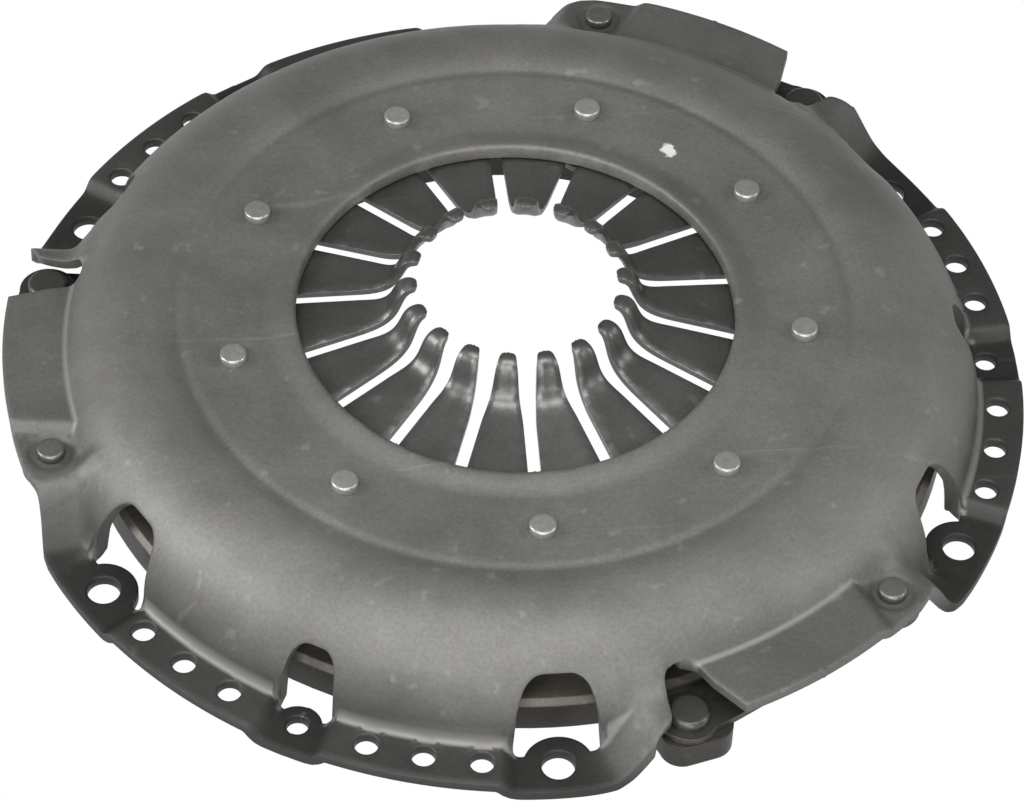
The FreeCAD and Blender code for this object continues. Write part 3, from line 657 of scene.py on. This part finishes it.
def spring_rim(half):
    """The rim of a sector with the slot in its middle: keyhole, slot, half tips, sides and outer edge."""
    slot = [(float(r), SLOT_HALF + SLOT_GROWTH * float(ease((BEND_R - r) / SLOT_TAPER)))
            for r in np.concatenate([np.arange(74.6, BEND_R, -1.2), np.arange(43.8, TIP_R + 1.6, -0.45)])]
    mouth = math.degrees(math.asin(slot[0][1] / KEYHOLE))
    keyhole = [(KEYHOLE_R - KEYHOLE * math.cos(math.radians(t)), KEYHOLE * math.sin(math.radians(t)))
               for t in np.linspace(180.0 - 2.0, mouth + 2.0, 26)][1:]
    tip = [(TIP_R + 1.3, 2.88), (TIP_R + 0.8, 3.02), (TIP_R + 0.4, 3.14), (TIP_R + 0.1, 3.28), (TIP_R, 3.5)]
    tip_turns = np.linspace(math.atan2(tip[-1][1], TIP_R), half, 5)[1:]
    end = [(TIP_R * math.cos(t), TIP_R * math.sin(t)) for t in tip_turns]
    side = [(r * math.cos(half), r * math.sin(half))
            for r in np.concatenate([np.arange(28.0, BEND_R, 0.5), np.arange(45.0, SPRING_R, 1.6)])]
    outer = [(SPRING_R * math.cos(t), SPRING_R * math.sin(t)) for t in np.linspace(half, -half, 25)]
    left = keyhole + slot + tip + end
    return mirrored(left)[::-1] + [(KEYHOLE_R + KEYHOLE, 0.0)] + left + side + outer + mirrored(side)[::-1]


def spring_grid(half):
    """Points that fill a sector, closer where the fingers bend."""
    grid = []
    for r in np.concatenate([np.arange(*rows) for rows in SPRING_ROWS]):
        count = max(4, int(2 * half * r / (0.55 if r < BEND_R else 1.3)))
        grid += [(r * math.cos(t), r * math.sin(t)) for t in np.linspace(-half, half, count + 1)[1:-1]]
    return grid


def make_spring():
    half = math.pi / FINGERS
    rim = spring_rim(half)
    free = dense([tuple(p) for p in off_sides(rim, half)], 0.4)
    return plate_sheet("spring", spring_grid(half), [], rim, spring_upper, spring_lower, free, FINGERS,
                       row=0.9, fall=0.5)


# The wire rings
WIRE = 2.25
UPPER_RING_Z, LOWER_RING_Z = 29.0, 21.55


def make_ring(name, z):
    turns = [2 * math.pi * i / 20 for i in range(20)]
    section = [(RING_R + WIRE * math.cos(t), z + WIRE * math.sin(t)) for t in turns]
    return lathe(name, section, 180, closed=True)


# The rivets: the foot and shank as radius and height, the head's radius, seat, top, rounding and crown
SPACER = {
    "foot": [(0.0, 16.76), (6.6, 16.76), (7.2, 17.0), (7.4, 17.5), (7.4, 19.26), (4.0, 19.26), (4.0, 31.3),
             (3.0, 31.3), (3.0, 34.55)],
    "head": (3.7, 34.55, 37.3, 0.6, 0.12), "sides": 40}
COVER_RIVET = {
    "foot": [(0.0, 12.1), (4.8, 12.1), (5.4, 12.5), (5.5, 13.2), (5.5, 14.3), (2.8, 14.3), (2.8, 19.8)],
    "head": (3.8, 19.8, 22.65, 0.7, 0.15), "sides": 44}
PLATE_RIVET = {
    "foot": [(0.0, 4.2), (5.0, 4.2), (5.7, 4.7), (5.8, 5.4), (5.8, 6.8), (3.5, 6.8), (3.5, 14.1)],
    "head": (5.6, 14.1, 17.25, 1.2, 0.25), "sides": 56}


def head_section(radius, seat, top, rounding, crown):
    """The section of a rivet's head from its seat to its slightly domed top."""
    points = [(radius - 0.1, seat), (radius, seat + 0.25), (radius, top - rounding)]
    for i in range(1, 7):
        t = math.pi / 2 * i / 6
        points.append((radius - rounding * (1 - math.cos(t)),
                       top - crown - rounding * (1 - math.sin(t)) + crown * (i / 6) * 0.3))
    for i in range(1, 6):
        u = i / 5
        points.append(((radius - rounding) * (1 - u), top - crown * (0.7 - 0.7 * (1 - (1 - u) ** 2))))
    return points


def make_rivet(name, kind, centre):
    return lathe(name, kind["foot"] + head_section(*kind["head"]), kind["sides"], centre)


def make_spacer_rivets():
    places = [polar(SPACER_R, SPACER_TURN + SPACER_STEP * (i + 1)) for i in range(SPACERS)]
    return joined("spacer_rivet_set", [make_rivet("rivet", SPACER, centre) for centre in places])


# The leaves
LEAF, LEAF_END, LEAF_WAIST, LEAF_DROP = 0.8, 8.0, 7.0, 2.6
STRAP_LONG = 2 * STRAP_R * math.sin(math.radians((COVER_RIVET_ANGLE - LUG_ANGLE) / 2))


def leaf_rim(steps=40):
    """A leaf's outline along X: two round ends that run into a narrower waist with rounded corners."""
    bend = math.degrees(math.asin(LEAF_WAIST / LEAF_END))
    rim = arc_points(0.0, 0.0, LEAF_END, bend, 360 - bend, steps)
    rim += arc_points(STRAP_LONG, 0.0, LEAF_END, -180 + bend, 180 - bend, steps)
    waist_corners = (0, steps, steps + 1, 2 * steps + 1)
    return dense(round_corners(rim, [2.0 if i in waist_corners else 0.0 for i in range(len(rim))]), 1.2)


def make_leaf(name, number, turn):
    """One leaf of a strap pack, waisted between its round ends, from the cover's rivet to the lug's."""
    def face(flat, shift):
        top = SEAT - SHEET - LEAF * number
        height = top - LEAF_DROP * fade_in(flat[:, 0], LEAF_END, STRAP_LONG - 2 * LEAF_END)
        return np.column_stack([flat, height + shift])

    rim = leaf_rim()
    grid = [(x, y) for x in np.arange(-7.0, STRAP_LONG + LEAF_END, 1.6) for y in np.arange(-7.0, 7.5, 1.4)]
    holes = [round_hole(0.0, 2.9, 32), round_hole(STRAP_LONG, 3.6, 36)]
    leaf = plate_sheet(name, grid, holes, rim, lambda flat, drop: face(flat, -drop * 0.3),
                       lambda flat, drop: face(flat, -LEAF + drop * 0.3), rim)
    start, end = Vector((*polar(STRAP_R, COVER_RIVET_ANGLE), 0.0)), Vector((*polar(STRAP_R, LUG_ANGLE), 0.0))
    heading = math.atan2(end.y - start.y, end.x - start.x)
    leaf.data.transform(Matrix.Rotation(math.radians(turn), 4, "Z") @ Matrix.Translation(start * MM) @
                        Matrix.Rotation(heading, 4, "Z"))
    return leaf


# Materials
class Nodes:
    """Short forms for the nodes of one material or world."""
    def __init__(self, nt):
        self.nt = nt
        self.coords = nt.nodes.new("ShaderNodeTexCoord").outputs["Object"]

    def link(self, a, b):
        self.nt.links.new(a, b)

    def noise(self, scale, detail, rough, distortion=0.0, stretch=None):
        n = self.nt.nodes.new("ShaderNodeTexNoise")
        n.inputs["Scale"].default_value = scale
        n.inputs["Detail"].default_value = detail
        n.inputs["Roughness"].default_value = rough
        n.inputs["Distortion"].default_value = distortion
        source = self.coords
        if stretch:
            mapping = self.nt.nodes.new("ShaderNodeMapping")
            mapping.inputs["Scale"].default_value = stretch
            self.link(source, mapping.inputs["Vector"])
            source = mapping.outputs[0]
        self.link(source, n.inputs["Vector"])
        return n.outputs["Fac"]

    def ramp(self, fac, stops):
        """Greys at positions from 0 to 1."""
        n = self.nt.nodes.new("ShaderNodeValToRGB")
        marks = n.color_ramp.elements
        while len(marks) < len(stops):
            marks.new(0.5)
        for mark, (position, value) in zip(marks, stops):
            mark.position = position
            mark.color = (value, value, value, 1)
        self.link(fac, n.inputs["Fac"])
        return n.outputs["Color"]

    def maths(self, op, a, b, clamp=False):
        n = self.nt.nodes.new("ShaderNodeMath")
        n.operation = op
        n.use_clamp = clamp
        for i, v in enumerate((a, b)):
            if isinstance(v, (int, float)):
                n.inputs[i].default_value = v
            else:
                self.link(v, n.inputs[i])
        return n.outputs[0]

    def mix(self, fac, a, b, blend="MIX"):
        """Two colours mixed. Sockets 0, 6 and 7 are the node's factor and its two colours."""
        n = self.nt.nodes.new("ShaderNodeMix")
        n.data_type = "RGBA"
        n.blend_type = blend
        for i, v in ((0, fac), (6, a), (7, b)):
            if isinstance(v, float):
                n.inputs[i].default_value = v
            elif isinstance(v, tuple):
                n.inputs[i].default_value = (*v, 1)
            else:
                self.link(v, n.inputs[i])
        return n.outputs[2]

    def bump(self, height, strength, distance, normal):
        n = self.nt.nodes.new("ShaderNodeBump")
        n.inputs["Strength"].default_value = strength
        n.inputs["Distance"].default_value = distance
        self.link(height, n.inputs["Height"])
        self.link(normal, n.inputs["Normal"])
        return n.outputs["Normal"]

    def rounded(self, radius):
        n = self.nt.nodes.new("ShaderNodeBevel")
        n.samples = 6
        n.inputs["Radius"].default_value = radius
        return n.outputs["Normal"]


def height_tones(n, heights):
    """A grey for each height, on a ramp that spans 50 mm."""
    split = n.nt.nodes.new("ShaderNodeSeparateXYZ")
    n.link(n.coords, split.inputs[0])
    span = 0.05
    return n.ramp(n.maths("MULTIPLY", split.outputs["Z"], 1 / span), [(z * MM / span, v) for z, v in heights])


def paint_bend_highlight(n, colour):
    """A painted highlight: brighter metal where the cover's attribute marks a bend at the dome's foot."""
    painted_highlight = n.nt.nodes.new("ShaderNodeAttribute")
    painted_highlight.attribute_name = "painted_highlight"
    return n.mix(n.maths("MULTIPLY", painted_highlight.outputs["Fac"], 0.6), colour, (0.27, 0.265, 0.25))


def paint_dab(n, colour, place):
    """A pale dab of paint with a ragged edge, at a place in mm."""
    gap = n.nt.nodes.new("ShaderNodeVectorMath")
    gap.operation = "DISTANCE"
    n.link(n.coords, gap.inputs[0])
    gap.inputs[1].default_value = tuple(c * MM for c in place)
    edge = n.maths("ADD", gap.outputs["Value"], n.maths("MULTIPLY", n.noise(420.0, 3.0, 0.6), 0.0042))
    mask = n.ramp(n.maths("MULTIPLY", edge, 100.0), [(0.40, 1.0), (0.46, 0.0)])
    return n.mix(n.maths("MULTIPLY", mask, 0.85), colour, (0.92, 0.92, 0.9))


def steel(name, plain, metallic, rough, dark, light, bevel=0.0004, bump=0.25, heights=None, dab=None):
    """A worked metal: clouds, blotches, grain, spots and scratches between a dark and a light tone.

    plain is the grey and the roughness that stand for the metal where its nodes aren't read. rough is the
    least and the most roughness, bevel the radius in metres of the shaded edges, and heights the tones at
    heights in mm, darker lower down: on the rivets and the plate this is painted shade, and the plate's bevel
    is lighter, partly machined metal and partly a painted highlight. dab is where a pale dab of paint goes,
    and with it the cover gets its painted highlight on the bends at the dome's foot.
    """
    m = bpy.data.materials.new(name)
    m.use_nodes = True
    n = Nodes(m.node_tree)
    bsdf = m.node_tree.nodes["Principled BSDF"]
    grey, plain_roughness = plain
    bsdf.inputs["Base Color"].default_value = (grey, grey, grey, 1)
    bsdf.inputs["Roughness"].default_value = plain_roughness
    bsdf.inputs["Metallic"].default_value = metallic
    cloud = n.noise(14.0, 3.0, 0.6)
    blotch = n.ramp(n.noise(42.0, 3.0, 0.6, distortion=0.3), [(0.3, 0.0), (0.7, 1.0)])
    spread = n.maths("ADD", n.maths("MULTIPLY", cloud, 0.7), n.maths("MULTIPLY", blotch, 0.3))
    tone = n.mix(n.ramp(spread, [(0.25, 0.0), (0.78, 1.0)]), dark, light)
    grain = n.ramp(n.noise(900.0, 6.0, 0.7), [(0.3, 0.82), (0.7, 1.12)])
    colour = n.mix(1.0, tone, grain, "MULTIPLY")
    spots = n.ramp(n.noise(160.0, 2.0, 0.5), [(0.67, 0.0), (0.75, 1.0)])
    colour = n.mix(n.maths("MULTIPLY", spots, 0.4), colour, tuple(c * 1.5 for c in light))
    scratches = n.ramp(n.noise(55.0, 2.0, 0.5, 0.4, stretch=(0.12, 3.0, 1.0)), [(0.68, 0.0), (0.72, 1.0)])
    colour = n.mix(n.maths("MULTIPLY", scratches, 0.2), colour, tuple(c * 1.7 for c in light))
    if heights:
        colour = n.mix(1.0, colour, height_tones(n, heights), "MULTIPLY")
    # With the dab the cover also gets its painted highlight on the bends at the dome's foot.
    if dab:
        colour = paint_dab(n, paint_bend_highlight(n, colour), dab)
    n.link(colour, bsdf.inputs["Base Color"])
    n.link(n.ramp(cloud, [(0.25, rough[0]), (0.75, rough[1])]), bsdf.inputs["Roughness"])
    normal = n.bump(n.noise(300.0, 4.0, 0.6), bump, 0.00025, n.rounded(bevel))
    n.link(n.bump(n.noise(28.0, 2.0, 0.5), bump, 0.0006, normal), bsdf.inputs["Normal"])
    return m


# The cover is darker the lower it lies, towards the flange; its dab brings the painted highlight on the bends
# at the dome's foot.
pressed = steel("pressed_steel", (0.15, 0.5), 0.55, (0.50, 0.62), (0.118, 0.116, 0.109), (0.182, 0.179, 0.17),
                bump=0.35, heights=[(0.0, 0.19), (4.0, 0.20), (8.5, 0.46), (21.0, 0.74), (30.0, 1.0)],
                dab=(49.1, 58.5, LAND))
spring = steel("spring_steel", (0.07, 0.3), 0.75, (0.33, 0.41), (0.085, 0.085, 0.082), (0.15, 0.149, 0.143),
               bump=0.1)
wire = steel("wire_steel", (0.3, 0.3), 0.9, (0.25, 0.4), (0.14, 0.14, 0.14), (0.22, 0.22, 0.21))
# The rivets' heads are darker the lower they sit: painted shade, deepest on the plate's rivets under the
# platform.
rivets = steel("rivet_steel", (0.2, 0.4), 0.75, (0.32, 0.44), (0.32, 0.318, 0.305), (0.42, 0.417, 0.40),
               bump=0.4, heights=[(0.0, 0.22), (20.0, 0.22), (24.5, 0.7), (30.0, 1.0)])
# The leaves' steel is darkened as painted shade, for the shadow they lie in under the flange.
strap = steel("strap_steel", (0.1, 0.35), 0.8, (0.3, 0.45), (0.055, 0.052, 0.048), (0.1, 0.096, 0.09),
              bevel=0.0003)
# The plate is darkened below its rim's bevel as painted shade, where it lies under the cover; the bevel is
# brighter, partly its machined metal and partly a painted highlight.
iron = steel("cast_iron", (0.08, 0.5), 0.5, (0.42, 0.6), (0.062, 0.058, 0.049), (0.12, 0.113, 0.097),
             bevel=0.0006, bump=0.6, heights=[(0.0, 0.32), (11.6, 0.32), (12.2, 1.1), (13.6, 1.1)])


NODE_METALS = {"cover": pressed, "diaphragm_spring": spring, "pressure_plate": iron,
               "upper_fulcrum_ring": wire, "lower_fulcrum_ring": wire}


def node_material(name):
    return NODE_METALS.get(name, rivets if "rivet" in name else strap)


for name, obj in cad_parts.items():
    obj.data.materials.clear()
    obj.data.materials.append(node_material(name))
    for polygon in obj.data.polygons:
        polygon.material_index = 0


# The pieces in the frame
def place(obj, body, node, slot, mat):
    obj.data.materials.clear()
    obj.data.materials.append(mat)
    if body:
        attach(obj, body)
    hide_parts(node)


place(make_cover(), "cover", "cover", "pressed_steel", pressed)
spring_mesh = make_spring()
spring_mesh.data.transform(Matrix.Rotation(math.pi / FINGERS, 4, "Z"))
place(spring_mesh, "cover", "diaphragm_spring", "spring_steel", spring)
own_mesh(spring_mesh)
place(make_spacer_rivets(), "cover", "spacer_rivets", "rivet_steel", rivets)
place(make_ring("upper_ring", UPPER_RING_Z), "cover", "upper_fulcrum_ring", "wire_steel", wire)
place(make_ring("lower_ring", LOWER_RING_Z), "cover", "lower_fulcrum_ring", "wire_steel", wire)
for third in range(3):
    turn = third * THIRD
    cover_rivet = make_rivet(f"cover_rivet_{third + 1}", COVER_RIVET,
                             polar(STRAP_R, COVER_RIVET_ANGLE + turn))
    place(cover_rivet, "cover", f"cover_strap_rivet_{third + 1}", "rivet_steel", rivets)
    plate_rivet = make_rivet(f"plate_rivet_{third + 1}", PLATE_RIVET, polar(STRAP_R, LUG_ANGLE + turn))
    place(plate_rivet, "plate", f"plate_strap_rivet_{third + 1}", "rivet_steel", rivets)
    for number, level in enumerate(("upper", "middle", "lower")):
        leaf = make_leaf(f"leaf_{third + 1}_{level}", number, turn)
        place(leaf, None, f"drive_strap_{third + 1}_{level}", "strap_steel", strap)
        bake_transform(leaf)


# Floor, light and camera, in metres
def floor_material():
    """White paper that shows as pure white to the camera and still lights the object."""
    m = bpy.data.materials.new("floor_white")
    m.use_nodes = True
    n = Nodes(m.node_tree)
    bsdf = m.node_tree.nodes["Principled BSDF"]
    bsdf.inputs["Base Color"].default_value = (0.9, 0.9, 0.9, 1)
    bsdf.inputs["Roughness"].default_value = 0.9
    path = m.node_tree.nodes.new("ShaderNodeLightPath")
    seen = n.maths("ADD", path.outputs["Is Camera Ray"], path.outputs["Is Glossy Ray"], clamp=True)
    seen = n.maths("ADD", seen, path.outputs["Is Transmission Ray"], clamp=True)
    white = m.node_tree.nodes.new("ShaderNodeEmission")
    mixer = m.node_tree.nodes.new("ShaderNodeMixShader")
    n.link(seen, mixer.inputs[0])
    n.link(bsdf.outputs[0], mixer.inputs[1])
    n.link(white.outputs[0], mixer.inputs[2])
    n.link(mixer.outputs[0], m.node_tree.nodes["Material Output"].inputs["Surface"])
    return m


FLOOR_SIZE, FLOOR_GAP = 8.0, 0.0005
bpy.ops.mesh.primitive_plane_add(size=FLOOR_SIZE, location=(0, 0, -FLOOR_GAP))
floor = bpy.context.object
floor.name = "floor"
floor.data.materials.append(floor_material())

SKY_LIGHT = 0.24
world = bpy.data.worlds.new("studio")
bpy.context.scene.world = world
world.use_nodes = True
sky = world.node_tree.nodes["Background"]
sky.inputs["Color"].default_value = (1, 1, 1, 1)
sight = world.node_tree.nodes.new("ShaderNodeLightPath")
sky_nodes = Nodes(world.node_tree)
brightness = sky_nodes.maths("ADD", sight.outputs["Is Camera Ray"], SKY_LIGHT, clamp=True)
sky_nodes.link(brightness, sky.inputs["Strength"])


def lamp(name, position, size, power, target=(0, 0, 0.02)):
    data = bpy.data.lights.new(name, "AREA")
    data.shape = "RECTANGLE"
    data.size, data.size_y = size
    data.energy = power
    obj = bpy.data.objects.new(name, data)
    obj.location = position
    obj.rotation_euler = (Vector(target) - Vector(position)).to_track_quat("-Z", "Y").to_euler()
    bpy.context.scene.collection.objects.link(obj)


lamp("key", (-0.45, -1.2, 0.95), (1.1, 0.7), 14.2)
lamp("front", (0.1, -1.5, 0.3), (1.0, 0.35), 6.0)
lamp("top", (0.0, -0.45, 1.4), (1.1, 0.5), 13.0)
lamp("left", (-1.1, -0.05, 0.55), (0.5, 0.6), 11.0)
lamp("right", (1.1, -0.3, 0.6), (0.4, 0.6), 5.0)

camera_data = bpy.data.cameras.new("camera")
camera_data.lens = 164.7
camera_data.sensor_width = 36.0
camera_data.clip_start, camera_data.clip_end = 0.05, 30.0
camera = bpy.data.objects.new("camera", camera_data)
bpy.context.scene.collection.objects.link(camera)
camera.location = (-0.10808, -0.87460, 0.98501)
camera.rotation_euler = (0.727523, -0.029720, -0.089724)
bpy.context.scene.camera = camera

bpy.context.scene.view_settings.view_transform = "Standard"
